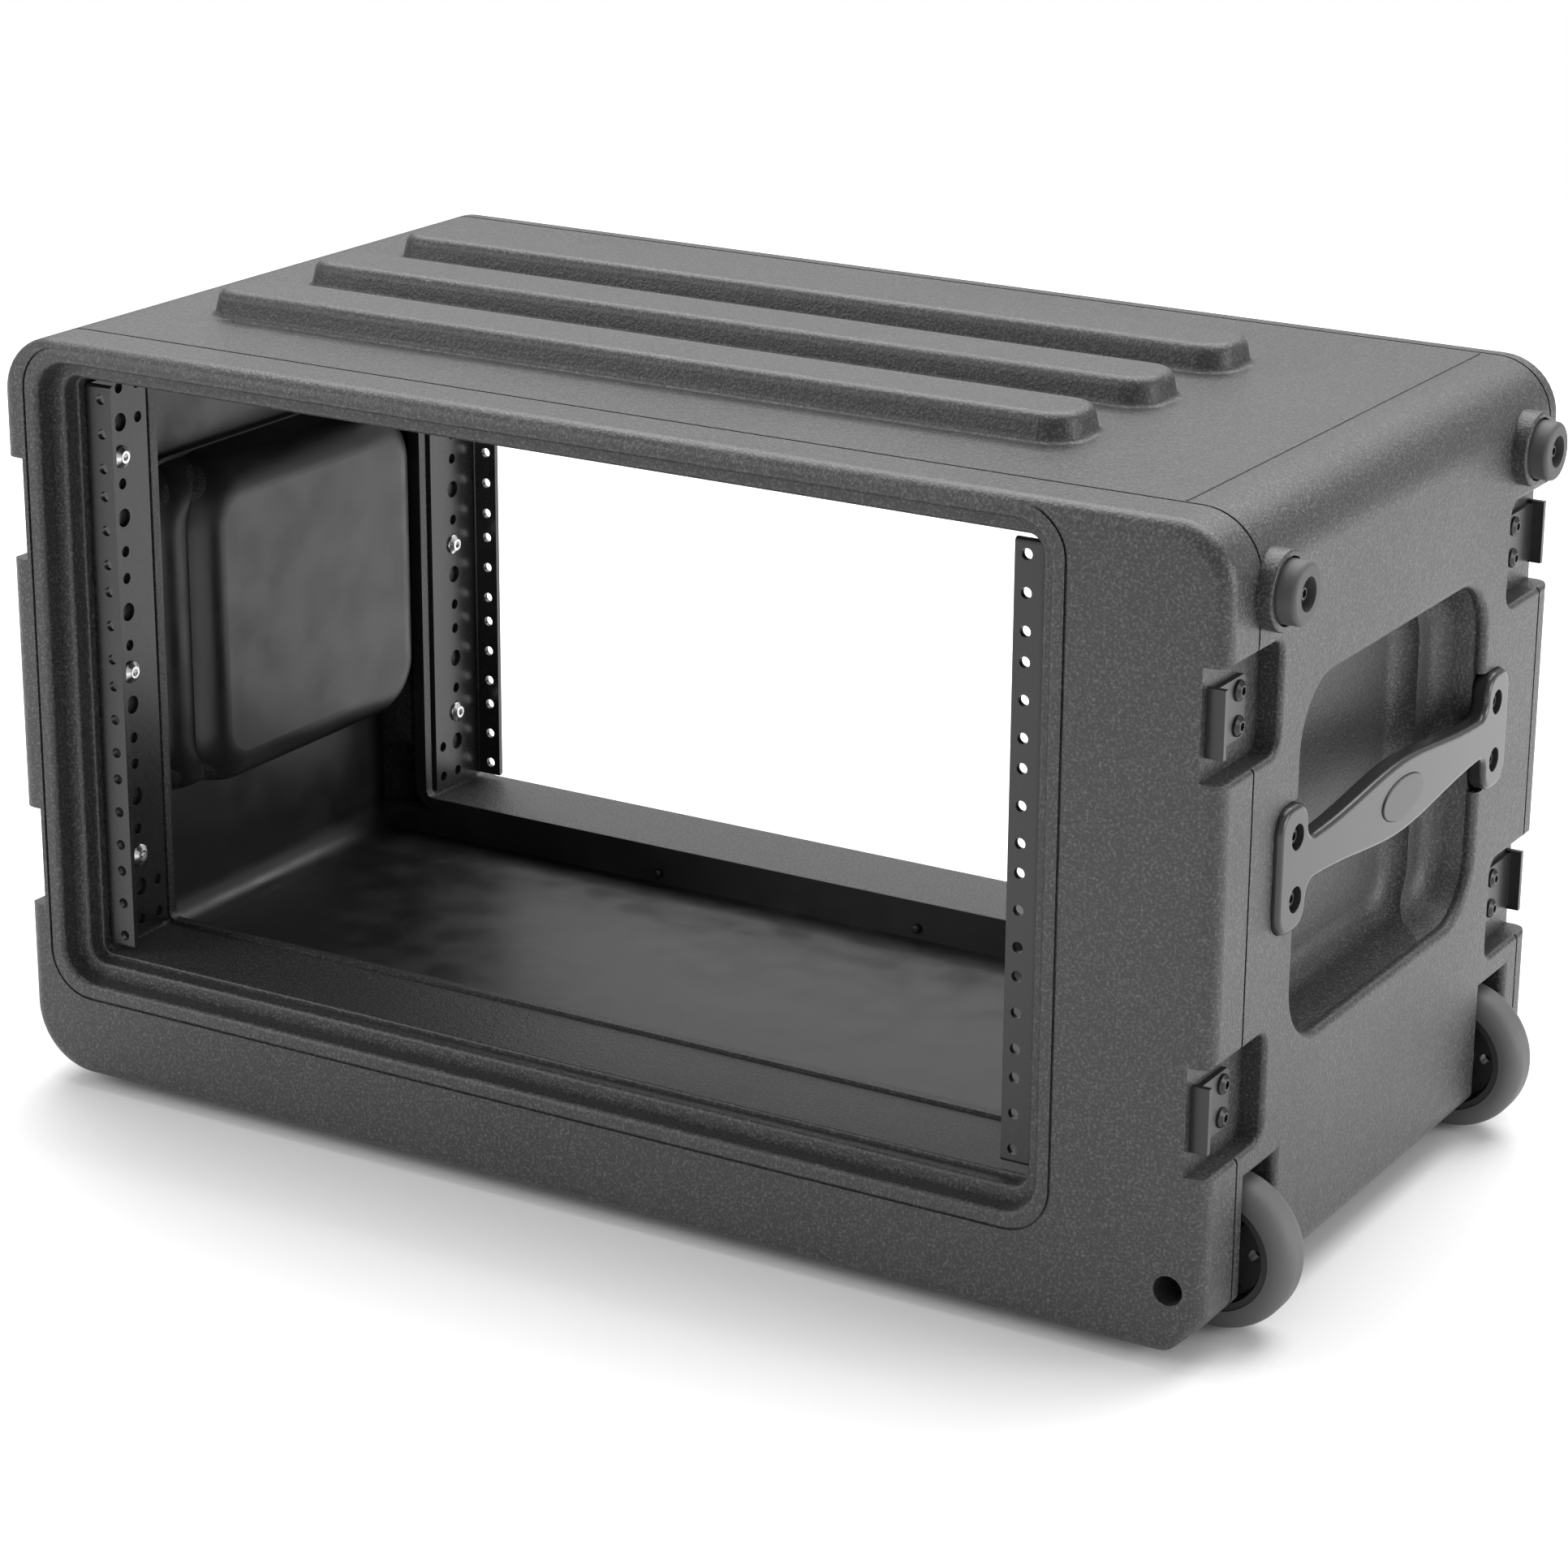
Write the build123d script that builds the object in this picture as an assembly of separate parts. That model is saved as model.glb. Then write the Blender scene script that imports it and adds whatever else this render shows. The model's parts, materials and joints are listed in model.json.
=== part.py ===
from build123d import *
import math
import os

# Rolling equipment rack case, six units high, open at the front and the rear.
# All sizes are in millimetres. +X points to the end with the wheels, -Y is the front, +Z is up.
# The pieces are drawn about the middle of the rack bay and moved once, when they are written,
# so that the origin ends at the middle of the whole case, on the surface it stands on.

# ---- driving dimensions: rack standard -------------------------------------------------------
RACK_UNITS = 6
UNIT = 44.45                 # height of one rack unit
UNIT_HOLES = (6.35, 22.225, 38.1)   # hole heights inside one unit
HOLE_SPACING_X = 465.1       # between the left and the right row of holes
RAIL_THREAD_R = 2.4          # tapped hole of a rack screw
RAIL_T = 2.6                 # steel of the rails
RAIL_FLANGE = 15.6           # flange that carries the tapped holes
RAIL_WEB = 40.0              # web that is screwed to the collar
RAIL_SCREW_INSET = 41.0      # face of the case to the line of the web holes
WEB_HOLE_SMALL, WEB_HOLE_LARGE = 2.55, 4.2
RAIL_INSET = 19.5            # face of the case to the flange of a rail

# ---- driving dimensions: moulded case --------------------------------------------------------
CASE_DEPTH = 337.0           # front face to rear face
CASE_HEIGHT = 348.0          # skin to skin, without ribs and skids
LEFT_MARGIN = 273.0          # bay middle to the left skin
RIGHT_MARGIN = 330.0         # bay middle to the right skin
WALL = 5.0
CORNER_R = 26.0
LOW_CORNER_R = 31.0          # lower left edge
CHAMFER = 17.0               # lower right edge, beside the wheels
EDGE_R = 7.0                 # front and rear outer edge
SKID = 6.0                   # moulded skids lift the skin off the floor
BELOW_BAY = 59.0             # skin to the lower end of the rails
FRONT_RING, REAR_RING = 27.0, 12.0   # end rings, set off by a seam
SEAM = 1.4
SEAM_DEPTH = 1.6
RIB_COUNT = 3
RIB_PITCH = 72.0
RIB_LENGTH = 440.0
RIB_WIDTH = 40.0
RIB_HEIGHT = 12.0
RIB_END_R = 15.0
RIB_DRAFT = 12.0             # degrees
RIB_EDGE_R = 5.0
RIB_FOOT_R = 3.0
MOULD_LINE_X = 296.0         # thin ridge along the top where the mould closed
SKID_LENGTH, SKID_WIDTH, SKID_R = 64.0, 40.0, 8.0
SKID_INSET = 48.0            # skid middle from the left skin and from the wheel wells
SKID_SETBACK = 50.5          # skid middle from the face

# ---- driving dimensions: mouth of the bay ----------------------------------------------------
BAY_HALF = 242.6             # inner wall of the collar
BAY_BELOW, BAY_ABOVE = 2.6, 3.0     # room below and above the rails
COLLAR_R = 4.0
STEP_A, STEP_A_DEPTH = 9.9, 9.4     # outer ledge: how far it is set out, and how deep it lies
STEP_B, STEP_B_DEPTH = 2.3, 16.6    # inner ledge
BEAD = 6.6
COLLAR_DEPTH = 67.5          # face to the inner end of the collar
COLLAR_T = 5.0
BEAD_R = 2.6
LEDGE_R = 1.8
CREASE = 1.3                 # groove round the bead
LIP = 1.6                    # raised lip at the inner end of the collar
LIP_LENGTH = 5.0
NUB_X = (-100.0, 47.0)       # small bumps on the apron
FLOOR_DROP = 17.5            # sill of the collar to the floor behind it
COVE_R = 14.0

# ---- driving dimensions: ends ----------------------------------------------------------------
HANDLE_Z = 134.7             # above the lower end of the rails
HANDLE_HOLE_Y = 103.8
HANDLE_HOLE_Z = 13.3
HANDLE_PROUD = 3.2           # what stands out of the skin
HANDLE_SINK = 4.0            # the screw heads are sunk
GRIP_CROWN = 1.4             # the middle stands out a little more
MEDALLION_PROUD = 0.7
PLATE_T = 3.0
POCKET_DEPTH = 31.0
POCKET_Z = 129.5
POCKET_HEIGHT = 155.0
POCKET_HALF = 95.0           # half of the mouth
POCKET_STEP = 74.0           # the deep part ends here, a shallow lobe goes on
LOBE_DEPTH = 21.0
POCKET_FLOOR_R = 12.0
POCKET_R = 28.0
POCKET_DRAFT = 11.0          # degrees
MOUTH_DEPTH = 5.0            # straight part of a pocket, before the draft begins
MOUTH_R = 3.5                # rounded rims of pockets, notches and wells
NOTCH_RIM_R = 2.5
PAD_INNER, PAD_OUTER = 90.0, 118.5   # screwed pads of a handle, from its middle
PAD_HALF = 27.0
PAD_R = 10.0
PAD_SEAT = 5.0               # the pads lie this deep in the skin
GRIP_WAIST = 9.5             # half height beside a pad
GRIP_MIDDLE = 16.5           # half height in the middle
MEDALLION = (42.0, 18.0)
KEEPER_Z = (45.0, 210.0)     # above the lower end of the rails
NOTCH_DEPTH = 10.5
NOTCH_LENGTH = 51.0
NOTCH_HEIGHT = 47.0
KEEPER_T = 2.5
KEEPER_HEIGHT = 26.0
KEEPER_SETBACK = 4.5         # face of the case to the lip of a keeper
KEEPER_LENGTH = 30.0
KEEPER_LIP = 2.6             # the lip ends this far inside the skin
KEEPER_SCREW_SETBACK = 28.0
KEEPER_SCREW_DZ = (-7.25, 7.25)
FOOT_SETBACK = 39.5          # foot middle from the face
FOOT_Z = 256.6
FOOT_R = 13.0
FOOT_PROUD = 14.5
FOOT_SEAT = 3.0
FOOT_BORE = 7.0
FOOT_SINK = 4.5
BOSS_R = 16.5
BOSS_PROUD = 6.5

# ---- driving dimensions: wheels --------------------------------------------------------------
WHEEL_R = 34.5
TYRE_W = 21.0
TYRE_T = 9.5
HUB_W = 21.0
FRONT_WHEEL_SETBACK, REAR_WHEEL_SETBACK = 51.0, 40.5   # wheel middle from the face
AXLE_X = 314.5
AXLE_Z = 35.7                # above the floor
AXLE_R = 4.0
WELL_GAP = 4.3
WELL_SIDE = 14.5             # half width of a wheel well
ACCESS_R = 6.5
HUB_RIM, HUB_BOSS, HUB_WEB, HUB_HOLE = 3.0, 9.5, 6.0, 2.6
BUSH_R = 6.5
RUNNING = 0.05               # radial clearance of a running fit
PLAY = 0.3                   # clearance between pieces that don't touch

# ---- driving dimensions: fasteners -----------------------------------------------------------
SCREW_R = 2.4
SCREW_HEAD_R = 5.2
SCREW_HEAD_H = 2.6
HEX_ACROSS = 3.2
NUT_R = 4.6
NUT_H = 4.0

# ---- values worked out from the sizes above --------------------------------------------------
RAIL_LENGTH = RACK_UNITS * UNIT
FACE = CASE_DEPTH / 2
SKIN_BOTTOM = SKID
SKIN_TOP = SKID + CASE_HEIGHT
RAIL_Z = SKID + BELOW_BAY
SILL_Z = RAIL_Z - BAY_BELOW
BAY_TOP_Z = RAIL_Z + RAIL_LENGTH + BAY_ABOVE
FLOOR_Z = SILL_Z - FLOOR_DROP
COLLAR_END = FACE - COLLAR_DEPTH
HOLE_X = HOLE_SPACING_X / 2
FLANGE_Y = FACE - RAIL_INSET
RAIL_SCREW_Y = FACE - RAIL_SCREW_INSET
SKID_Y = FACE - SKID_SETBACK
KEEPER_FRONT = FACE - KEEPER_SETBACK
KEEPER_BACK = KEEPER_FRONT - KEEPER_LENGTH
KEEPER_SCREW_Y = FACE - KEEPER_SCREW_SETBACK
FOOT_Y = FACE - FOOT_SETBACK
FRONT_WHEEL_Y, REAR_WHEEL_Y = FRONT_WHEEL_SETBACK - FACE, FACE - REAR_WHEEL_SETBACK
HOLE_HEIGHTS = [RAIL_Z + u * UNIT + h for u in range(RACK_UNITS) for h in UNIT_HOLES]
RAIL_SCREW_HEIGHTS = [HOLE_HEIGHTS[-3], HOLE_HEIGHTS[-10], HOLE_HEIGHTS[-16]]
WELL_IN_X = AXLE_X - WHEEL_R - WELL_GAP
WELL_TOP = AXLE_Z + WHEEL_R + WELL_GAP
SPLIT_Y = FACE - FRONT_RING          # flat cuts between the nodes of the moulding
CUT_LOW = WELL_TOP + WALL + 2.5
CUT_HIGH = RAIL_Z + FOOT_Z - BOSS_R - 1.6

os.makedirs("parts", exist_ok=True)


# ---- drawing helpers -------------------------------------------------------------------------
def along_y(outline, low, high):
    """Solid from an outline drawn in X and Z, between two Y values."""
    plane = Plane(origin=(0, high, 0), x_dir=(1, 0, 0), z_dir=(0, -1, 0))
    return extrude(plane * outline, high - low)


def along_x(outline, low, high, taper=0):
    """Solid from an outline drawn in Y and Z, from one X value towards another."""
    facing = 1 if high > low else -1
    plane = Plane(origin=(low, 0, 0), x_dir=(0, facing, 0), z_dir=(facing, 0, 0))
    drawn = outline if facing > 0 else mirror(outline, about=Plane.YZ)
    return extrude(plane * drawn, abs(high - low), taper=taper)


def box(x0, x1, y0, y1, z0, z1):
    """Box between two corners."""
    size = Box(abs(x1 - x0), abs(y1 - y0), abs(z1 - z0))
    return Pos((x0 + x1) / 2, (y0 + y1) / 2, (z0 + z1) / 2) * size


def rounded(x0, x1, z0, z1, radius):
    """Rounded rectangle between two corners."""
    return Pos((x0 + x1) / 2, (z0 + z1) / 2) * RectangleRounded(x1 - x0, z1 - z0, radius)


def rod(radius, start, direction, length):
    """Cylinder from a point, along a direction."""
    plane = Plane(origin=start, z_dir=direction)
    return extrude(plane * Circle(radius), length)


def edges_at(solid, axis, value, reach=0.2):
    """Edges that lie wholly at one value of an axis."""
    return solid.edges().filter_by_position(axis, value - reach, value + reach)


def skin_x(side):
    """Where the left or the right skin lies."""
    return RIGHT_MARGIN if side > 0 else -LEFT_MARGIN


# ---- outline of the case ---------------------------------------------------------------------
def case_outline(inset):
    """Cross-section of the case, drawn in X and Z, moved inwards by an inset."""
    left, right = -LEFT_MARGIN + inset, RIGHT_MARGIN - inset
    low, high = SKIN_BOTTOM + inset, SKIN_TOP - inset
    # An offset keeps a 45 degree cut parallel, so the cut shortens a little with the inset.
    cut = CHAMFER - inset * (2 - math.sqrt(2))
    points = [(left, low), (right - cut, low), (right, low + cut), (right, high), (left, high)]
    face = make_face(Polyline(*points, close=True))
    face = fillet([v for v in face.vertices() if v.Y > high - 1], CORNER_R - inset)
    face = fillet([v for v in face.vertices() if v.X < left + 1 and v.Y < low + 1],
                  LOW_CORNER_R - inset)
    cut_ends = [v for v in face.vertices() if abs(v.X - right + cut) < 0.01 and v.Y < low + 0.01]
    cut_ends += [v for v in face.vertices() if abs(v.Y - low - cut) < 0.01 and v.X > right - 0.01]
    return fillet(cut_ends, CORNER_R / 3)


def mouth(set_out, radius):
    """Opening of the bay, drawn in X and Z, set out from the collar wall."""
    return rounded(-BAY_HALF - set_out, BAY_HALF + set_out, SILL_Z - set_out,
                   BAY_TOP_Z + set_out, radius)


# ---- hollows and recesses of the moulding ----------------------------------------------------
def pocket(side, grow):
    """Handle pocket: a deep drafted part and a shallow lobe; grow makes the bulge inside."""
    skin = skin_x(side)
    middle_z = RAIL_Z + POCKET_Z
    height = POCKET_HEIGHT + 2 * grow
    start = skin - side * MOUTH_DEPTH
    whole = None
    for near, far, depth, draft in ((-POCKET_HALF, POCKET_HALF, MOUTH_DEPTH, 0),
                                    (-POCKET_HALF, POCKET_STEP, POCKET_DEPTH, POCKET_DRAFT),
                                    (-POCKET_STEP / 2, POCKET_HALF, LOBE_DEPTH, 2 * POCKET_DRAFT)):
        y0, y1 = min(side * near, side * far) - grow, max(side * near, side * far) + grow
        outline = rounded(y0, y1, middle_z - height / 2, middle_z + height / 2, POCKET_R + grow)
        bottom = skin - side * (depth + grow)
        part = along_x(outline, start if draft else skin, bottom, taper=draft)
        if draft:
            part = fillet(edges_at(part, Axis.X, bottom), POCKET_FLOOR_R + grow)
        whole = part if whole is None else whole + part
    return whole


def with_rim(cutter, side, radius):
    """A cutter for the left or right skin, with the edge it leaves in the skin rounded."""
    skin = skin_x(side)
    slab = box(skin, skin + side * 30, -FACE - 40, FACE + 40, -60, SKIN_TOP + 60)
    cutter = cutter + slab
    rim = [e for e in edges_at(cutter, Axis.X, skin)
           if abs(e.center().Y) < FACE + 30 and -50 < e.center().Z < SKIN_TOP + 50]
    return fillet(rim, radius)


def pad_seats(side, grow):
    """Shallow recesses that take the two pads of a handle."""
    skin = skin_x(side)
    middle_z = RAIL_Z + HANDLE_Z
    made = []
    for end in (-1, 1):
        y0, y1 = sorted((end * (PAD_INNER - 8), end * (PAD_OUTER + PLAY + grow)))
        half = PAD_HALF + PLAY + grow
        outline = rounded(y0, y1, middle_z - half, middle_z + half, PAD_R + grow)
        made.append(along_x(outline, skin - side * (PAD_SEAT + grow), skin + side))
    return made


def wheel_well(end, grow):
    """Space for one wheel, open to the end face and to the underside."""
    middle = wheel_y(end)
    low = SKIN_BOTTOM - 20
    outline = rounded(WELL_IN_X - grow, RIGHT_MARGIN + 40, low, WELL_TOP + grow, 8 + grow)
    return along_y(outline, middle - WELL_SIDE - grow, middle + WELL_SIDE + grow)


def keeper_notch(side, end, height, grow):
    """Corner notch for a latch keeper."""
    skin = skin_x(side)
    floor = skin - side * (NOTCH_DEPTH + grow)
    outer = skin + side * 10
    middle = RAIL_Z + height
    y0, y1 = sorted((end * (FACE - NOTCH_LENGTH - grow), end * (FACE + 20)))
    half = NOTCH_HEIGHT / 2 + grow
    outline = rounded(y0, y1, middle - half, middle + half, 7 + grow / 2)
    return along_x(outline, floor, outer)


def wheel_y(end):
    """Middle of the front or the rear wheel."""
    return REAR_WHEEL_Y if end > 0 else FRONT_WHEEL_Y


def wheel_wall(end, way):
    """Where a wall beside a wheel has its hidden face: way 1 towards the end of the case."""
    return wheel_y(end) + end * way * (WELL_SIDE + WALL)


def each_notch():
    """Side, end and height of every corner notch."""
    return [(side, end, height) for side in (-1, 1) for end in (-1, 1) for height in KEEPER_Z]


def each_keeper():
    """The keepers sit in the notches of the wheel end; the left notches are bare."""
    return [place for place in each_notch() if place[0] > 0]


def underside_recess(grow):
    """Recess under the floor that takes the ribs of a case below."""
    return box(-LEFT_MARGIN + WALL + 3 - grow, WELL_IN_X - WALL - 10 + grow,
               -COLLAR_END + WALL - grow, COLLAR_END - WALL + grow,
               SKIN_BOTTOM - 10, FLOOR_Z - WALL + grow)


def ribs(inset):
    """Raised ribs on the top; an inset makes the hollow under them."""
    made = []
    for index in range(RIB_COUNT):
        middle = (index - (RIB_COUNT - 1) / 2) * RIB_PITCH
        base = Plane.XY.offset(SKIN_TOP - inset - 1) * Pos(0, middle) * RectangleRounded(
            RIB_LENGTH - 2 * inset, RIB_WIDTH - 2 * inset, RIB_END_R - inset)
        made.append(extrude(base, RIB_HEIGHT + 1, taper=RIB_DRAFT))
    return made


def collar(end):
    """Walls of the bay mouth between the face and the inner lip, before they are opened."""
    outer_face = FACE - WALL
    steps = [(STEP_A + COLLAR_T, outer_face, FACE - STEP_A_DEPTH - COLLAR_T),
             (STEP_B + COLLAR_T, outer_face, FACE - STEP_B_DEPTH - COLLAR_T),
             (COLLAR_T, outer_face, COLLAR_END)]
    solid = None
    for set_out, outer, inner in steps:
        y0, y1 = sorted((end * outer, end * inner))
        block = along_y(mouth(set_out, 14), y0, y1)
        solid = block if solid is None else solid + block
    # An apron closes the ring below the sill, down to the floor.
    y0, y1 = sorted((end * COLLAR_END, end * (COLLAR_END - WALL)))
    apron = box(-LEFT_MARGIN + WALL, WELL_IN_X - WALL - 10, y0, y1, FLOOR_Z - WALL, SILL_Z - COLLAR_T)
    return solid + Pos(0, end * WALL, 0) * apron


def bay_cutter(end):
    """Opens the bay from one face: two ledges and the collar, with every edge rounded."""
    steps = ((STEP_A, STEP_A_DEPTH, 16), (STEP_B, STEP_B_DEPTH, 8),
             (0, COLLAR_DEPTH - LIP_LENGTH, COLLAR_R))
    slab = Rectangle(4 * RIGHT_MARGIN, 4 * CASE_HEIGHT)
    cutter = along_y(slab, *sorted((end * FACE, end * (FACE + 30))))
    for set_out, depth, radius in steps:
        cutter += along_y(mouth(set_out, radius), *sorted((end * (FACE - depth), end * FACE)))
    for level, rim_r in ((FACE, BEAD_R), (FACE - STEP_A_DEPTH, LEDGE_R), (FACE - STEP_B_DEPTH, 1.0)):
        rim = [e for e in edges_at(cutter, Axis.Y, end * level)
               if abs(e.center().X) < BAY_HALF + STEP_A + 1]
        if level < FACE:
            # Of the two loops at a ledge, only the inner one is an edge to round.
            rim = inner_loop(rim)
        cutter = fillet(rim, rim_r)
    return cutter


def inner_loop(edges):
    """The smaller of two nested loops of edges."""
    wires = sorted(Wire.combine(edges), key=lambda wire: wire.bounding_box().size.X)
    small = wires[0].bounding_box()
    return [e for e in edges if e.bounding_box().max.X <= small.max.X + 0.01
            and e.bounding_box().min.X >= small.min.X - 0.01
            and e.bounding_box().max.Z <= small.max.Z + 0.01
            and e.bounding_box().min.Z >= small.min.Z - 0.01]


def apron_nub(x):
    """Small moulded bump on the inner side of the rear apron."""
    nub = rod(2.4, (x, COLLAR_END + 1, FLOOR_Z + 5.5), (0, -1, 0), 3.6)
    return fillet(edges_at(nub, Axis.Y, COLLAR_END - 2.6), 1.6)


def seam(end):
    """Groove that sets the end ring off from the middle of the case."""
    ring = REAR_RING if end > 0 else FRONT_RING
    middle = end * (FACE - ring - SEAM / 2)
    around = Rectangle(3 * RIGHT_MARGIN, 3 * CASE_HEIGHT) - case_outline(SEAM_DEPTH)
    return along_y(around, middle - SEAM / 2, middle + SEAM / 2)


def floor_cove():
    """Soft corner where the floor meets the left wall."""
    wall, level = -LEFT_MARGIN + WALL, FLOOR_Z
    corner = Pos(wall + COVE_R / 2 - 1, level + COVE_R / 2 - 1) * Rectangle(COVE_R + 2, COVE_R + 2)
    outline = corner - Pos(wall + COVE_R, level + COVE_R) * Circle(COVE_R)
    return along_y(outline, -COLLAR_END, COLLAR_END)


def skids():
    """Moulded skids under the four corners, inboard of the wheels."""
    outline = RectangleRounded(SKID_LENGTH, SKID_WIDTH, SKID_R)
    made = []
    for x in (-LEFT_MARGIN + SKID_INSET, WELL_IN_X - SKID_INSET):
        for end in (-1, 1):
            block = extrude(Pos(x, end * SKID_Y, 0) * outline, SKIN_BOTTOM + WALL)
            made.append(fillet(edges_at(block, Axis.Z, 0), 2))
    return made


def make_case():
    """One-piece moulded case with an even wall."""
    outer = along_y(case_outline(0), -FACE, FACE)
    ends = edges_at(outer, Axis.Y, -FACE) + edges_at(outer, Axis.Y, FACE)
    outer = fillet(ends, EDGE_R)
    for end in (-1, 1):
        outer -= seam(end)
    for rib in ribs(0):
        outer += fillet(edges_at(rib, Axis.Z, SKIN_TOP + RIB_HEIGHT), RIB_EDGE_R)
    rib_feet = [e for e in edges_at(outer, Axis.Z, SKIN_TOP)
                if abs(e.center().Y) < RIB_PITCH + RIB_WIDTH and abs(e.center().X) < RIB_LENGTH / 2 + 1]
    outer = fillet(rib_feet, RIB_FOOT_R)
    line = box(MOULD_LINE_X - 0.5, MOULD_LINE_X + 0.5, -FACE + FRONT_RING + 3, FACE - REAR_RING - 3,
               SKIN_TOP - 1, SKIN_TOP + 0.35)
    outer += line
    for side in (-1, 1):
        outer -= with_rim(pocket(side, 0), side, MOUTH_R)
    for end in (-1, 1):
        outer -= with_rim(wheel_well(end, 0), 1, MOUTH_R)
    for side, end, height in each_notch():
        outer -= with_rim(keeper_notch(side, end, height, 0), side, NOTCH_RIM_R)
    for end in (-1, 1):
        boss = rod(BOSS_R, (RIGHT_MARGIN - WALL, end * FOOT_Y, RAIL_Z + FOOT_Z), (1, 0, 0),
                   WALL + BOSS_PROUD)
        outer += fillet(edges_at(boss, Axis.X, RIGHT_MARGIN + BOSS_PROUD), 1.2)
    outer += skids()
    outer -= pad_seats(-1, 0) + pad_seats(1, 0)
    outer -= underside_recess(0)

    inner = along_y(case_outline(WALL), -FACE + WALL, FACE - WALL)
    for rib in ribs(WALL):
        inner += rib
    for side in (-1, 1):
        inner -= pocket(side, WALL)
    inner -= pad_seats(-1, WALL) + pad_seats(1, WALL)
    for end in (-1, 1):
        inner -= wheel_well(end, WALL)
        inner -= collar(end)
        inner -= rod(ACCESS_R + WALL / 2, (AXLE_X, end * FACE, AXLE_Z), (0, -end, 0),
                     FACE - abs(wheel_wall(end, 1)) + WALL)
    for side, end, height in each_notch():
        inner -= keeper_notch(side, end, height, WALL - 1)
    inner -= underside_recess(WALL)
    case = outer - inner

    case += floor_cove()
    for end in (-1, 1):
        case -= bay_cutter(end)
        y0, y1 = sorted((end * (COLLAR_END + LIP_LENGTH + 1), end * (COLLAR_END - 1)))
        case -= along_y(mouth(-LIP, COLLAR_R), y0, y1)
        groove = mouth(STEP_A + BEAD + CREASE, 22) - mouth(STEP_A + BEAD, 20)
        y0, y1 = sorted((end * (FACE + 1), end * (FACE - CREASE)))
        case -= along_y(groove, y0, y1)

    case += [apron_nub(x) for x in NUB_X]

    # Holes for everything that is bolted on.
    case -= [rod(SCREW_R + PLAY / 2, (side * (BAY_HALF - 2), end * RAIL_SCREW_Y, z), (side, 0, 0),
                 COLLAR_T + 4)
             for side in (-1, 1) for end in (-1, 1) for z in RAIL_SCREW_HEIGHTS]
    case -= [rod(SCREW_R + PLAY / 2, (skin_x(side) - side * (NOTCH_DEPTH - 1), end * KEEPER_SCREW_Y,
                                      RAIL_Z + height + dz), (-side, 0, 0), WALL + 4)
             for side, end, height in each_keeper() for dz in KEEPER_SCREW_DZ]
    case -= [rod(SCREW_R + PLAY / 2, (skin_x(side), end * HANDLE_HOLE_Y,
                                      RAIL_Z + HANDLE_Z + dz), (-side, 0, 0), PAD_SEAT + WALL + 4)
             for side in (-1, 1) for end in (-1, 1) for dz in (-HANDLE_HOLE_Z, HANDLE_HOLE_Z)]
    for end in (-1, 1):
        centre = (RIGHT_MARGIN + BOSS_PROUD + 1, end * FOOT_Y, RAIL_Z + FOOT_Z)
        case -= rod(FOOT_R + 1, centre, (-1, 0, 0), FOOT_SEAT + 1)
        case -= rod(SCREW_R + PLAY / 2, centre, (-1, 0, 0), BOSS_PROUD + WALL + 4)
        case -= rod(ACCESS_R, (AXLE_X, end * (FACE + 1), AXLE_Z), (0, -end, 0),
                    FACE + 1 - abs(wheel_wall(end, 1)))
        case -= rod(AXLE_R + PLAY / 2, (AXLE_X, end * FACE, AXLE_Z), (0, -end, 0),
                    FACE - abs(wheel_wall(end, -1)) + 1)
    return case


def split_case(case):
    """The moulding as six simple nodes: an end part with the mouth of the bay at the front and
    at the rear, and between them four parts divided by level cuts that stay clear of the
    pockets, wells and bosses."""
    far = 2 * RIGHT_MARGIN
    nodes = {}
    for end, near in ((-1, "front"), (1, "rear")):
        ring = box(-far, far, end * SPLIT_Y, end * far, -far, far)
        reach = BAY_HALF + COLLAR_T
        ring += box(-reach, reach, end * (COLLAR_END - 1), end * (SPLIT_Y + 1),
                    SILL_Z - COLLAR_T, BAY_TOP_Z + COLLAR_T)
        nodes[f"case_{near}_ring"] = case & ring
        case = case - ring
    nodes["case_bottom"] = case & box(-far, far, -far, far, -far, CUT_LOW)
    nodes["case_top"] = case & box(-far, far, -far, far, CUT_HIGH, far)
    nodes["case_left_end"] = case & box(-far, 0, -far, far, CUT_LOW, CUT_HIGH)
    nodes["case_right_end"] = case & box(0, far, -far, far, CUT_LOW, CUT_HIGH)
    return nodes


# ---- fasteners -------------------------------------------------------------------------------
def button_screw(seat, direction, length, radius=SCREW_R, head_r=SCREW_HEAD_R, head_h=SCREW_HEAD_H):
    """Button-head screw with a hexagon socket; the head stands on the seat, the shank goes on."""
    x, y, z = seat
    dx, dy, dz = direction
    out = Plane(origin=seat, z_dir=(-dx, -dy, -dz))
    rim = head_h * 0.35
    profile = make_face(Polyline((0, -length), (radius, -length), (radius, 0), (head_r, 0),
                                 (head_r, rim), (head_r * 0.55, head_h), (0, head_h), close=True))
    edge = [v for v in profile.vertices() if v.Y > rim - 0.01 and v.X > 0.1]
    profile = fillet(edge, head_h * 0.3)
    body = revolve(Plane.XZ * profile, Axis.Z)
    socket = Pos(0, 0, head_h) * extrude(RegularPolygon(HEX_ACROSS / 2 * 1.1547, 6), -head_h * 0.6)
    return out * (body - socket)


def hex_nut(seat, direction, hole_r=SCREW_R + 0.03, across_r=NUT_R, height=NUT_H):
    """Hexagon nut standing on a seat."""
    flat = RegularPolygon(across_r, 6) - Circle(hole_r)
    return extrude(Plane(origin=seat, z_dir=direction) * flat, height)


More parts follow.
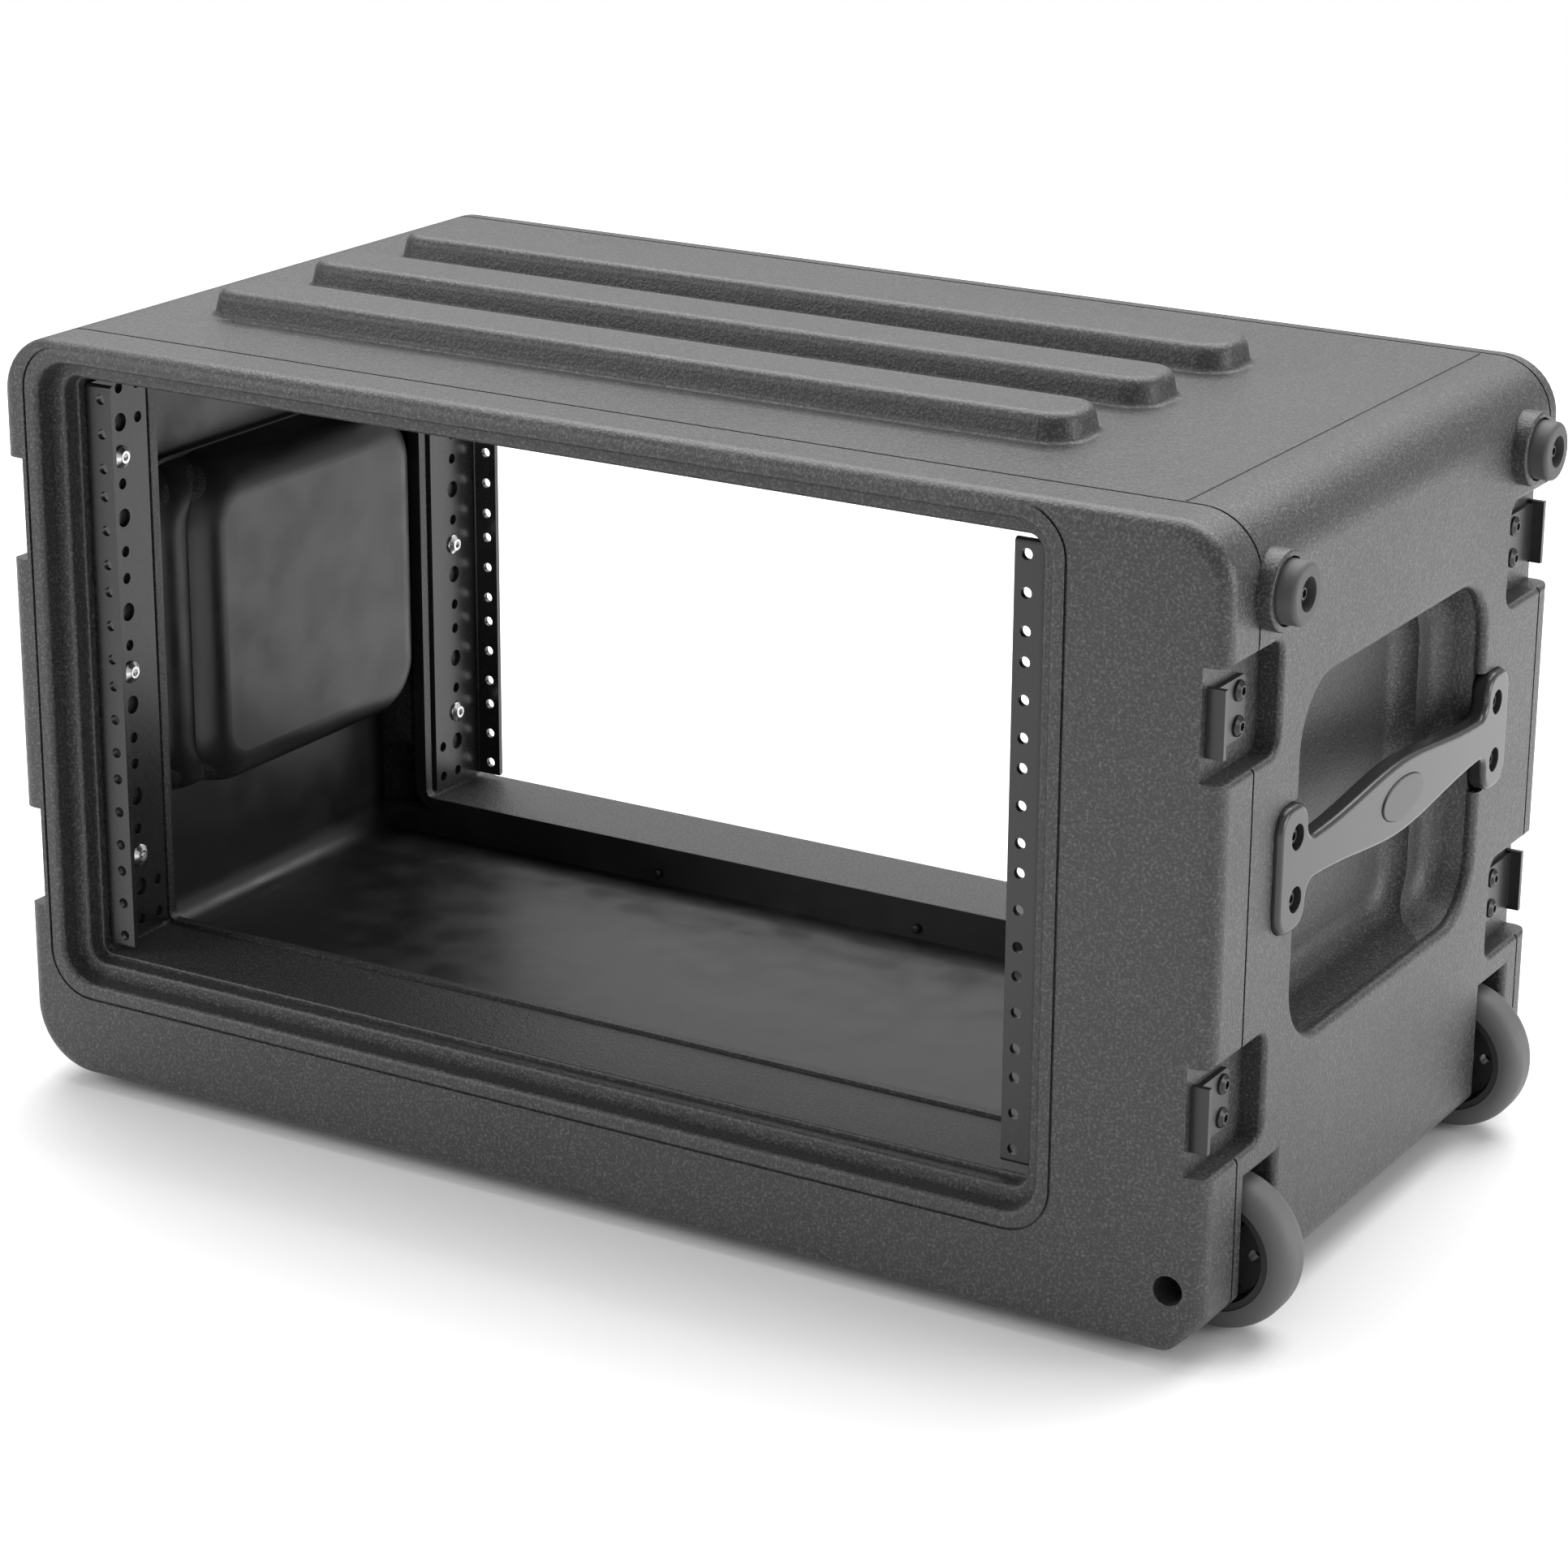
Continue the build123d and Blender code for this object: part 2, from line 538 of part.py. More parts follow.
# ---- rack rails ------------------------------------------------------------------------------
def make_rail(side, end):
    """Steel angle: a flange with tapped holes and a web that lies on the collar."""
    outer, inner = BAY_HALF, BAY_HALF - RAIL_T
    free = BAY_HALF - RAIL_FLANGE
    back = FLANGE_Y - RAIL_WEB
    outline = Polyline((free, FLANGE_Y), (outer, FLANGE_Y), (outer, back), (inner, back),
                       (inner, FLANGE_Y - RAIL_T), (free, FLANGE_Y - RAIL_T), close=True)
    face = make_face(outline)
    face = fillet([v for v in face.vertices() if v.X > outer - 0.1 and v.Y > FLANGE_Y - 0.1],
                  RAIL_T + 1.0)
    face = fillet([v for v in face.vertices() if abs(v.X - inner) < 0.1 and
                   abs(v.Y - FLANGE_Y + RAIL_T) < 0.1], 1.0)
    rail = extrude(Pos(0, 0, RAIL_Z) * face, RAIL_LENGTH)
    # The outer end edges are rounded off, to clear the corners of the collar.
    for z in (RAIL_Z, RAIL_Z + RAIL_LENGTH):
        ends = [e for e in edges_at(rail, Axis.Z, z) if e.center().X > outer - 1.6
                and e.length > RAIL_T + 0.1]
        rail = fillet(ends, 1.8)
    rail -= [rod(RAIL_THREAD_R, (HOLE_X, FLANGE_Y + 1, z), (0, -1, 0), RAIL_T + 2)
             for z in HOLE_HEIGHTS]
    for index, z in enumerate(HOLE_HEIGHTS):
        radius = WEB_HOLE_LARGE if index % 3 == 1 else WEB_HOLE_SMALL
        rail -= rod(radius, (inner - 1, RAIL_SCREW_Y, z), (1, 0, 0), RAIL_T + 2)
    for z in HOLE_HEIGHTS[:2] + HOLE_HEIGHTS[-2:]:
        rail -= rod(WEB_HOLE_SMALL, (inner - 1, back + 6, z), (1, 0, 0), RAIL_T + 2)
    if side < 0:
        rail = mirror(rail, about=Plane.YZ)
    if end < 0:
        rail = mirror(rail, about=Plane.XZ)
    return rail


def make_rail_screws():
    """Screws through the webs into the collar."""
    return [button_screw((side * (BAY_HALF - RAIL_T), end * RAIL_SCREW_Y, z), (side, 0, 0),
                         RAIL_T + COLLAR_T + NUT_H + 1)
            for side in (-1, 1) for end in (-1, 1) for z in RAIL_SCREW_HEIGHTS]


def make_rail_nuts():
    """Nuts behind the collar."""
    return [hex_nut((side * (BAY_HALF + COLLAR_T), end * RAIL_SCREW_Y, z), (side, 0, 0))
            for side in (-1, 1) for end in (-1, 1) for z in RAIL_SCREW_HEIGHTS]


# ---- handles ---------------------------------------------------------------------------------
def handle_outline():
    """Handle seen along X: two pads and a grip that is widest in the middle."""
    reach = PAD_INNER + 6
    swell = (GRIP_WAIST + GRIP_MIDDLE) / 2 - 0.6
    top = Spline((-reach, GRIP_WAIST), (-reach / 2, swell), (0, GRIP_MIDDLE), (reach / 2, swell),
                 (reach, GRIP_WAIST), tangents=((1, 0), (1, 0)))
    low = Spline((reach, -GRIP_WAIST), (reach / 2, -swell), (0, -GRIP_MIDDLE), (-reach / 2, -swell),
                 (-reach, -GRIP_WAIST), tangents=((-1, 0), (-1, 0)))
    grip = make_face([top, Line(top @ 1, low @ 0), low, Line(low @ 1, top @ 0)])
    face = grip
    for end in (-1, 1):
        y0, y1 = sorted((end * (PAD_INNER + 3), end * PAD_OUTER))
        face += rounded(y0, y1, -PAD_HALF, PAD_HALF, PAD_R)
    return face


def make_handle(side):
    """Moulded grip between two screwed pads."""
    back = RIGHT_MARGIN - PAD_SEAT
    front = RIGHT_MARGIN + HANDLE_PROUD
    blank = extrude(Plane.YZ.offset(back) * handle_outline(), front - back + GRIP_CROWN)
    corners = [e for e in blank.edges().filter_by(Axis.X)
               if abs(abs(e.center().Y) - PAD_INNER - 3) < 0.5 and abs(e.center().Z) < GRIP_MIDDLE]
    blank = fillet(corners, 6.5)
    crown = ThreePointArc((front, -PAD_OUTER - 2), (front + GRIP_CROWN, 0), (front, PAD_OUTER + 2))
    cutter = make_face([crown, Polyline((front, PAD_OUTER + 2), (back - 5, PAD_OUTER + 2),
                                        (back - 5, -PAD_OUTER - 2), (front, -PAD_OUTER - 2))])
    handle = blank & Pos(0, 0, -PAD_HALF - 5) * extrude(cutter, 2 * PAD_HALF + 10)
    rim = [e for e in handle.edges() if e.center().X > front - 0.6]
    handle = fillet(rim, 2.4)
    # The back of the grip is rounded for the fingers.
    grip_back = [e for e in handle.edges() if e.center().X < back + 0.1 and e.length > 100]
    handle = fillet(grip_back, 3.0)
    for end in (-1, 1):
        for dz in (-HANDLE_HOLE_Z, HANDLE_HOLE_Z):
            start = (front + 5, end * HANDLE_HOLE_Y, dz)
            handle -= rod(SCREW_HEAD_R + PLAY, start, (-1, 0, 0), 5 + HANDLE_SINK)
            handle -= rod(SCREW_R + PLAY / 2, start, (-1, 0, 0), 20)
    seat = Plane.YZ.offset(front + GRIP_CROWN - 1.2) * Ellipse(MEDALLION[0] / 2 + 0.15,
                                                              MEDALLION[1] / 2 + 0.15)
    handle -= extrude(seat, 5)
    handle = Pos(0, 0, RAIL_Z + HANDLE_Z) * handle
    return handle if side > 0 else end_for_end(handle)


def make_medallion(side):
    """Plain oval button in the middle of the grip."""
    base = RIGHT_MARGIN + HANDLE_PROUD + GRIP_CROWN - 1.2
    oval = extrude(Plane.YZ.offset(base) * Ellipse(MEDALLION[0] / 2, MEDALLION[1] / 2), 1.9)
    oval = fillet(edges_at(oval, Axis.X, base + 1.9), 0.5)
    oval = Pos(0, 0, RAIL_Z + HANDLE_Z) * oval
    return oval if side > 0 else end_for_end(oval)


def end_for_end(piece):
    """A piece of the right end turned half round to the left end."""
    turned = Rot(0, 0, 180) * piece
    return Pos(RIGHT_MARGIN - LEFT_MARGIN, 0, 0) * turned


def handle_points():
    """Screw positions of the right handle, from the bay middle."""
    return [(end * HANDLE_HOLE_Y, RAIL_Z + HANDLE_Z + dz)
            for end in (-1, 1) for dz in (-HANDLE_HOLE_Z, HANDLE_HOLE_Z)]


def make_handle_screws():
    """Screws through the pads of both handles."""
    seat = RIGHT_MARGIN + HANDLE_PROUD - HANDLE_SINK
    long = HANDLE_PROUD - HANDLE_SINK + PAD_SEAT + WALL + PLATE_T + NUT_H + 1
    made = [button_screw((seat, y, z), (-1, 0, 0), long) for y, z in handle_points()]
    return made + [end_for_end(screw) for screw in made]


def make_handle_plates():
    """Backing strips that spread the load of the handles, inside the case."""
    inside = RIGHT_MARGIN - PAD_SEAT - WALL
    made = []
    for end in (-1, 1):
        y0, y1 = sorted((end * (HANDLE_HOLE_Y - 4.5), end * (HANDLE_HOLE_Y + 9)))
        half = HANDLE_HOLE_Z + 9
        middle = RAIL_Z + HANDLE_Z
        strip = along_x(rounded(y0, y1, middle - half, middle + half, 3), inside - PLATE_T, inside)
        strip -= [rod(SCREW_R + PLAY / 2, (inside + 1, y, z), (-1, 0, 0), PLATE_T + 2)
                  for y, z in handle_points() if y * end > 0]
        made.append(strip)
    return made + [end_for_end(strip) for strip in made]


def make_handle_nuts():
    """Nuts on the backing strips."""
    inside = RIGHT_MARGIN - PAD_SEAT - WALL - PLATE_T
    made = [hex_nut((inside, y, z), (-1, 0, 0)) for y, z in handle_points()]
    return made + [end_for_end(nut) for nut in made]


# ---- latch keepers ---------------------------------------------------------------------------
def make_keeper(side, end, height):
    """Bent steel keeper: a plate on the notch floor and a lip that a latch hooks behind."""
    skin = skin_x(side)
    floor = skin - side * NOTCH_DEPTH
    middle = RAIL_Z + height
    y0, y1 = sorted((end * KEEPER_BACK, end * KEEPER_FRONT))
    half = KEEPER_HEIGHT / 2
    plate = along_x(rounded(y0, y1, middle - half, middle + half, 3), floor, floor + side * KEEPER_T)
    plate += box(floor, floor + side * KEEPER_T, end * (KEEPER_FRONT - 12), end * KEEPER_FRONT,
                 middle - half, middle + half)
    lip = box(floor, skin - side * KEEPER_LIP, end * KEEPER_FRONT, end * (KEEPER_FRONT - KEEPER_T),
              middle - half - 1.2, middle + half + 1.2)
    keeper = plate + lip
    keeper -= [rod(SCREW_R + PLAY / 2, (floor - side, end * KEEPER_SCREW_Y, middle + dz),
                   (side, 0, 0), KEEPER_T + 2) for dz in KEEPER_SCREW_DZ]
    return keeper


def make_keeper_screws():
    """Screws of all the keepers."""
    return [button_screw((skin_x(side) - side * (NOTCH_DEPTH - KEEPER_T), end * KEEPER_SCREW_Y,
                          RAIL_Z + height + dz), (-side, 0, 0), KEEPER_T + WALL - 1 + NUT_H + 1,
                         head_r=4.4, head_h=2.2)
            for side, end, height in each_keeper() for dz in KEEPER_SCREW_DZ]


def make_keeper_nuts():
    """Nuts of the keeper screws, inside the case."""
    return [hex_nut((skin_x(side) - side * (NOTCH_DEPTH + WALL - 1), end * KEEPER_SCREW_Y,
                     RAIL_Z + height + dz), (-side, 0, 0))
            for side, end, height in each_keeper() for dz in KEEPER_SCREW_DZ]


# ---- feet on the wheel end -------------------------------------------------------------------
def make_foot(end):
    """Rubber foot with a sunk screw."""
    seat = RIGHT_MARGIN + BOSS_PROUD - FOOT_SEAT
    face = RIGHT_MARGIN + FOOT_PROUD
    centre = (seat, end * FOOT_Y, RAIL_Z + FOOT_Z)
    foot = rod(FOOT_R, centre, (1, 0, 0), face - seat)
    foot = fillet(edges_at(foot, Axis.X, face), 2.2)
    foot -= rod(FOOT_BORE, (face + 1, centre[1], centre[2]), (-1, 0, 0), FOOT_SINK + 1)
    return foot - rod(SCREW_R + PLAY / 2, (seat - 1, centre[1], centre[2]), (1, 0, 0), FOOT_PROUD + 9)


def make_foot_screws():
    """Screws of both feet."""
    seat = RIGHT_MARGIN + FOOT_PROUD - FOOT_SINK
    long = FOOT_PROUD - FOOT_SINK + WALL + NUT_H + 1
    return [button_screw((seat, end * FOOT_Y, RAIL_Z + FOOT_Z), (-1, 0, 0), long, head_r=4.6)
            for end in (-1, 1)]


def make_foot_nuts():
    """Nuts of the foot screws, inside the case."""
    return [hex_nut((RIGHT_MARGIN - WALL, end * FOOT_Y, RAIL_Z + FOOT_Z), (-1, 0, 0))
            for end in (-1, 1)]


# ---- wheels ----------------------------------------------------------------------------------
def turned(points, end, rounded_points=(), radius=1.0):
    """Ring turned round the axle from an outline of (distance along the axle, radius)."""
    face = make_face(Polyline(*points, close=True))
    picked = [v for v in face.vertices() for x, y in rounded_points
              if abs(v.X - x) < 0.01 and abs(v.Y - y) < 0.01]
    if picked:
        face = fillet(picked, radius)
    solid = revolve(face, Axis.X)
    return Pos(AXLE_X, wheel_y(end), AXLE_Z) * Rot(0, 0, 90) * solid


def make_tyre(end):
    """Grey rubber tyre with a round crown."""
    half, bed = TYRE_W / 2, WHEEL_R - TYRE_T
    points = [(-half, bed), (half, bed), (half, WHEEL_R), (-half, WHEEL_R)]
    return turned(points, end, [(half, WHEEL_R), (-half, WHEEL_R)], TYRE_T * 0.8)


def make_hub(end):
    """Moulded hub: a rim, a thinner web on both sides of the middle, and a boss."""
    half_rim, rim_in = TYRE_W / 2 - 0.5, WHEEL_R - TYRE_T - HUB_RIM
    half_boss, boss = HUB_W / 2, HUB_BOSS
    outer = WHEEL_R - TYRE_T
    web = HUB_WEB / 2
    points = [(-half_rim, outer), (half_rim, outer), (half_rim, rim_in), (web, rim_in - 1),
              (web, boss + 1), (half_boss, boss), (half_boss, BUSH_R), (-half_boss, BUSH_R),
              (-half_boss, boss), (-web, boss + 1), (-web, rim_in - 1), (-half_rim, rim_in)]
    hub = turned(points, end)
    middle = (rim_in + boss) / 2
    holes = [Pos(AXLE_X, wheel_y(end), AXLE_Z) * Rot(0, turn * 60, 0) *
             rod(HUB_HOLE, (middle, -HUB_WEB, 0), (0, 1, 0), 2 * HUB_WEB) for turn in range(6)]
    return hub - holes


def make_bush(end):
    """Bearing sleeve pressed into the hub."""
    half = HUB_W / 2
    bore = AXLE_R + RUNNING
    return turned([(-half, bore), (half, bore), (half, BUSH_R), (-half, BUSH_R)], end)


def make_axle(end):
    """Axle bolt, put in through the hole in the face of the case."""
    length = 2 * (WELL_SIDE + WALL) + NUT_H + 2
    return button_screw((AXLE_X, wheel_wall(end, 1), AXLE_Z), (0, -end, 0), length,
                        radius=AXLE_R, head_r=ACCESS_R - 0.5, head_h=3.5)


def make_spacers(end):
    """Two washers that keep the hub off the sides of the well."""
    made = []
    inner = HUB_W / 2 + PLAY
    for way in (-1, 1):
        x0, x1 = sorted((way * inner, way * WELL_SIDE))
        made.append(turned([(x0, AXLE_R + PLAY), (x1, AXLE_R + PLAY), (x1, HUB_BOSS - 1),
                            (x0, HUB_BOSS - 1)], end))
    return made


def make_axle_nut(end):
    """Nut of the axle bolt, inside the case."""
    seat = wheel_wall(end, -1)
    return hex_nut((AXLE_X, seat, AXLE_Z), (0, -end, 0), AXLE_R + 0.03, 7.5, NUT_H + 1)


# ---- the whole case --------------------------------------------------------------------------
def name_of(low_word, high_word, sign):
    return high_word if sign > 0 else low_word


def all_pieces():
    """Every piece by name, still about the middle of the bay."""
    pieces = split_case(make_case())
    for end in (-1, 1):
        near = name_of("front", "rear", end)
        for side in (-1, 1):
            hand = name_of("left", "right", side)
            pieces[f"{near}_{hand}_rail"] = make_rail(side, end)
    pieces["rail_screws"] = make_rail_screws()
    pieces["rail_nuts"] = make_rail_nuts()
    for side in (-1, 1):
        hand = name_of("left", "right", side)
        pieces[f"{hand}_handle"] = make_handle(side)
        pieces[f"{hand}_medallion"] = make_medallion(side)
    pieces["handle_screws"] = make_handle_screws()
    pieces["handle_plates"] = make_handle_plates()
    pieces["handle_nuts"] = make_handle_nuts()
    for side, end, height in each_keeper():
        hand = name_of("left", "right", side)
        near = name_of("front", "rear", end)
        level = name_of("lower", "upper", height - RAIL_LENGTH / 2)
        pieces[f"{near}_{hand}_{level}_keeper"] = make_keeper(side, end, height)
    pieces["keeper_screws"] = make_keeper_screws()
    pieces["keeper_nuts"] = make_keeper_nuts()
    for end in (-1, 1):
        near = name_of("front", "rear", end)
        pieces[f"{near}_foot"] = make_foot(end)
        pieces[f"{near}_tyre"] = make_tyre(end)
        pieces[f"{near}_hub"] = make_hub(end)
        pieces[f"{near}_bush"] = make_bush(end)
        pieces[f"{near}_axle"] = make_axle(end)
        pieces[f"{near}_spacers"] = make_spacers(end)
        pieces[f"{near}_axle_nut"] = make_axle_nut(end)
    pieces["foot_screws"] = make_foot_screws()
    pieces["foot_nuts"] = make_foot_nuts()
    return pieces


left_most = -LEFT_MARGIN - HANDLE_PROUD - GRIP_CROWN - MEDALLION_PROUD
right_most = AXLE_X + WHEEL_R
to_middle = Pos(-(left_most + right_most) / 2, 0, 0)
for node, made in all_pieces().items():
    loose = made if isinstance(made, list) else [made]
    solids = [to_middle * solid for piece in loose for solid in piece.solids()]
    export_step(solids[0] if len(solids) == 1 else Compound(solids), f"parts/{node}.step")
print("bay middle at x =", to_middle.position.X)
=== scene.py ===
# %% [markdown]
# # An equipment rack case for stage and studio gear
# The case is one hollow moulding with steel rack rails, two handles, latch keepers, two wheels
# and two rubber feet. The CAD model already holds every part at its real size, so this scene
# gives each one its finish, sets it on a pale floor and lights it softly.

# %% Load the frame
import json
import math
import bpy
from mathutils import Matrix, Vector


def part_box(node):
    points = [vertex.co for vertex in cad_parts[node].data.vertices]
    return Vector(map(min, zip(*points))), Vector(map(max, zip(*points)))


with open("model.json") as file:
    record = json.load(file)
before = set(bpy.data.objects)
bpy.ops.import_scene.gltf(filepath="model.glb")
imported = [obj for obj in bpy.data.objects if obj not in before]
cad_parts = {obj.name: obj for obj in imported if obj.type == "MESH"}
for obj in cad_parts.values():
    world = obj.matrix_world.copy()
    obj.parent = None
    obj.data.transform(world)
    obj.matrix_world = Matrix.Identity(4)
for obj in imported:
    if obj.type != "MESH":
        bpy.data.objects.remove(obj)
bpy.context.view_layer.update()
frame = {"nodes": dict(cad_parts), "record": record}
nodes = frame["nodes"]
slot_of = {part["node"]: part["material_slot"] for part in frame["record"]["subparts"]}

# %% [markdown]
# ## How a finish is built
# Real surfaces are never one flat tone. Each finish here starts from the same recipe: a slow
# noise that drifts the colour, a fine noise for the grain of the mould or the paint, and a
# roughness that drifts too. Both noises live in the object's own space, in metres, so that the
# grain has its real size on every part.


# %% Helpers for node materials
def noise(tree, place, scale, detail=2.0, rough=0.5):
    """Noise in the object's own space; scale counts bumps per metre."""
    node = tree.nodes.new("ShaderNodeTexNoise")
    node.inputs["Scale"].default_value = scale
    node.inputs["Detail"].default_value = detail
    node.inputs["Roughness"].default_value = rough
    tree.links.new(place, node.inputs["Vector"])
    return node.outputs["Fac"]


def spread(tree, source, low, high, start=0.3, stop=0.7):
    """Maps a value from one range to another."""
    node = tree.nodes.new("ShaderNodeMapRange")
    node.inputs["From Min"].default_value = start
    node.inputs["From Max"].default_value = stop
    node.inputs["To Min"].default_value = low
    node.inputs["To Max"].default_value = high
    tree.links.new(source, node.inputs["Value"])
    return node.outputs["Result"]


def blend_colours(tree, factor, first, second):
    """Mixes two colours, given as sockets or as values."""
    node = tree.nodes.new("ShaderNodeMix")
    node.data_type = "RGBA"
    tree.links.new(factor, node.inputs["Factor"])
    for socket, value in ((node.inputs[6], first), (node.inputs[7], second)):
        if isinstance(value, bpy.types.NodeSocket):
            tree.links.new(value, socket)
        else:
            socket.default_value = (*value, 1)
    return node.outputs[2]


def sums(tree, operation, first, second):
    """Arithmetic on two sockets or numbers."""
    node = tree.nodes.new("ShaderNodeMath")
    node.operation = operation
    for socket, value in ((node.inputs[0], first), (node.inputs[1], second)):
        if isinstance(value, bpy.types.NodeSocket):
            tree.links.new(value, socket)
        else:
            socket.default_value = value
    return node.outputs[0]


def vectors(tree, operation, first, second=None):
    """Arithmetic on vectors, given as sockets or as values."""
    node = tree.nodes.new("ShaderNodeVectorMath")
    node.operation = operation
    for socket, value in ((node.inputs[0], first), (node.inputs[1], second)):
        if isinstance(value, bpy.types.NodeSocket):
            tree.links.new(value, socket)
        elif value is not None:
            socket.default_value = value
    return node.outputs["Vector"]


def bump(tree, height, depth, normal=None):
    """Bump of a real depth in metres."""
    node = tree.nodes.new("ShaderNodeBump")
    node.inputs["Strength"].default_value = 1
    node.inputs["Distance"].default_value = depth
    tree.links.new(height, node.inputs["Height"])
    if normal is not None:
        tree.links.new(normal, node.inputs["Normal"])
    return node.outputs["Normal"]


def finish(name, dark, light, rough, grain, depth, metal=0.0, soft_edge=0.0004, coat=0.0):
    """A finish: colour drifts between two tones, roughness in a range, grain per metre."""
    material = bpy.data.materials.new(name)
    material.use_nodes = True
    tree = material.node_tree
    shader = tree.nodes["Principled BSDF"]
    place = tree.nodes.new("ShaderNodeTexCoord").outputs["Object"]
    drift = noise(tree, place, 9, 4, 0.6)
    fine = noise(tree, place, grain, 3, 0.55)
    mixed = sums(tree, "ADD", sums(tree, "MULTIPLY", drift, 0.6), sums(tree, "MULTIPLY", fine, 0.4))
    tree.links.new(blend_colours(tree, spread(tree, mixed, 0, 1), dark, light),
                   shader.inputs["Base Color"])
    tree.links.new(spread(tree, mixed, *rough), shader.inputs["Roughness"])
    shader.inputs["Metallic"].default_value = metal
    shader.inputs["Coat Weight"].default_value = coat
    shader.inputs["Coat Roughness"].default_value = 0.25
    bevel = tree.nodes.new("ShaderNodeBevel")
    bevel.samples = 4
    bevel.inputs["Radius"].default_value = soft_edge
    tree.links.new(bump(tree, fine, depth, bevel.outputs["Normal"]), shader.inputs["Normal"])
    return material


# %% [markdown]
# ## The moulded skin
# The case is rotationally moulded polyethylene. The mould is textured, so the outside has a
# grain about a millimetre wide that breaks every reflection into sparkles; these sparkles are
# also painted into the colour as light grey specks, which are painted glints. The inside never
# touched the mould: it is smoother, darker and glossier, with slow waves where the plastic
# flowed. One material covers both, and masks made from positions say where the inside begins.


# %% Masks for the inside of the case
# Sizes of the moulding in metres, as in the CAD model.
MASK_DEPTH = 0.0025          # the masks change halfway through the wall
EDGE_R = 0.026               # long edges of the case
COLLAR_END = 0.102           # inner end of the bay mouth, from the middle of the case
FLOOR_UNDER = 0.0425         # halfway through the floor
POCKET_Z, POCKET_HALF_Z = 0.1945, 0.0775
POCKET_FLOOR_R = 0.012
POCKET_LEAN = 0.19           # how much a pocket narrows with depth
# Each pocket in two parts: where it starts and ends along the end wall, and its depth.
POCKET_PARTS = ((-0.095, 0.074, 0.031), (-0.037, 0.095, 0.021))


def within(tree, place, low, high):
    """1 inside a box between two corners, 0 outside it."""
    middle = (Vector(low) + Vector(high)) / 2
    half = (Vector(high) - Vector(low)) / 2
    return near_block(tree, place, middle, half, (0, 0, 0), 0.0001)


def near_block(tree, place, middle, half, lean, reach):
    """1 closer than a reach to a block; a lean narrows the block with depth along X."""
    away = vectors(tree, "ABSOLUTE", vectors(tree, "SUBTRACT", place, middle))
    depth = tree.nodes.new("ShaderNodeSeparateXYZ")
    tree.links.new(away, depth.inputs["Vector"])
    spread_out = tree.nodes.new("ShaderNodeCombineXYZ")
    for axis in "XYZ":
        tree.links.new(depth.outputs["X"], spread_out.inputs[axis])
    leaning = vectors(tree, "MULTIPLY", spread_out.outputs["Vector"], lean)
    past = vectors(tree, "SUBTRACT", vectors(tree, "ADD", away, leaning), half)
    corner = vectors(tree, "MAXIMUM", past, (0, 0, 0))
    length = tree.nodes.new("ShaderNodeVectorMath")
    length.operation = "LENGTH"
    tree.links.new(corner, length.inputs[0])
    return sums(tree, "LESS_THAN", length.outputs["Value"], reach)


def inside_mask(tree, place):
    """1 on the hidden side of the wall, 0 on the grained side."""
    left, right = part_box("case_left_end")[0].x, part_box("case_right_end")[1].x
    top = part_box("case_front_ring")[1].z
    inside = within(tree, place, (left, -COLLAR_END, FLOOR_UNDER), (right, COLLAR_END, top))
    # The long edges of the case are round, so the mask is round there too.
    low, high = Vector((left, -1, -1)), Vector((right, 1, top))
    half = (high - low) / 2 - Vector((EDGE_R, EDGE_R, EDGE_R))
    hollow = near_block(tree, place, (low + high) / 2, half, (0, 0, 0), EDGE_R - MASK_DEPTH)
    inside = sums(tree, "MULTIPLY", inside, hollow)
    # The handle pockets come in from the ends: their near side has the grain of the outside.
    half_z = POCKET_HALF_Z - POCKET_FLOOR_R + 0.001
    for skin_x, way in ((left, -1), (right, 1)):
        for y_low, y_high, deep in POCKET_PARTS:
            middle = (skin_x, way * (y_low + y_high) / 2, POCKET_Z)
            half_y = (y_high - y_low) / 2 - POCKET_FLOOR_R + 0.001
            pocket = near_block(tree, place, middle, (deep - POCKET_FLOOR_R, half_y, half_z),
                                (0, POCKET_LEAN, POCKET_LEAN), POCKET_FLOOR_R + MASK_DEPTH)
            inside = sums(tree, "MULTIPLY", inside, sums(tree, "SUBTRACT", 1.0, pocket))
    return inside


# %% Case plastic
GRAIN = 800                  # bumps of the mould texture per metre
GRAIN_DEPTH = 0.00045        # metres
SKIN_DARK, SKIN_LIGHT = (0.021, 0.021, 0.022), (0.029, 0.029, 0.030)
# The light grey below is for painted glints: specks on the grain that stand in for light sparkling off
# it.
PAINTED_GLINT_GREY = (0.13, 0.13, 0.133)
INSIDE_DARK, INSIDE_LIGHT = (0.012, 0.012, 0.0125), (0.018, 0.018, 0.0185)
FLOW_DEPTH = 0.0012          # slow waves of the inside, metres


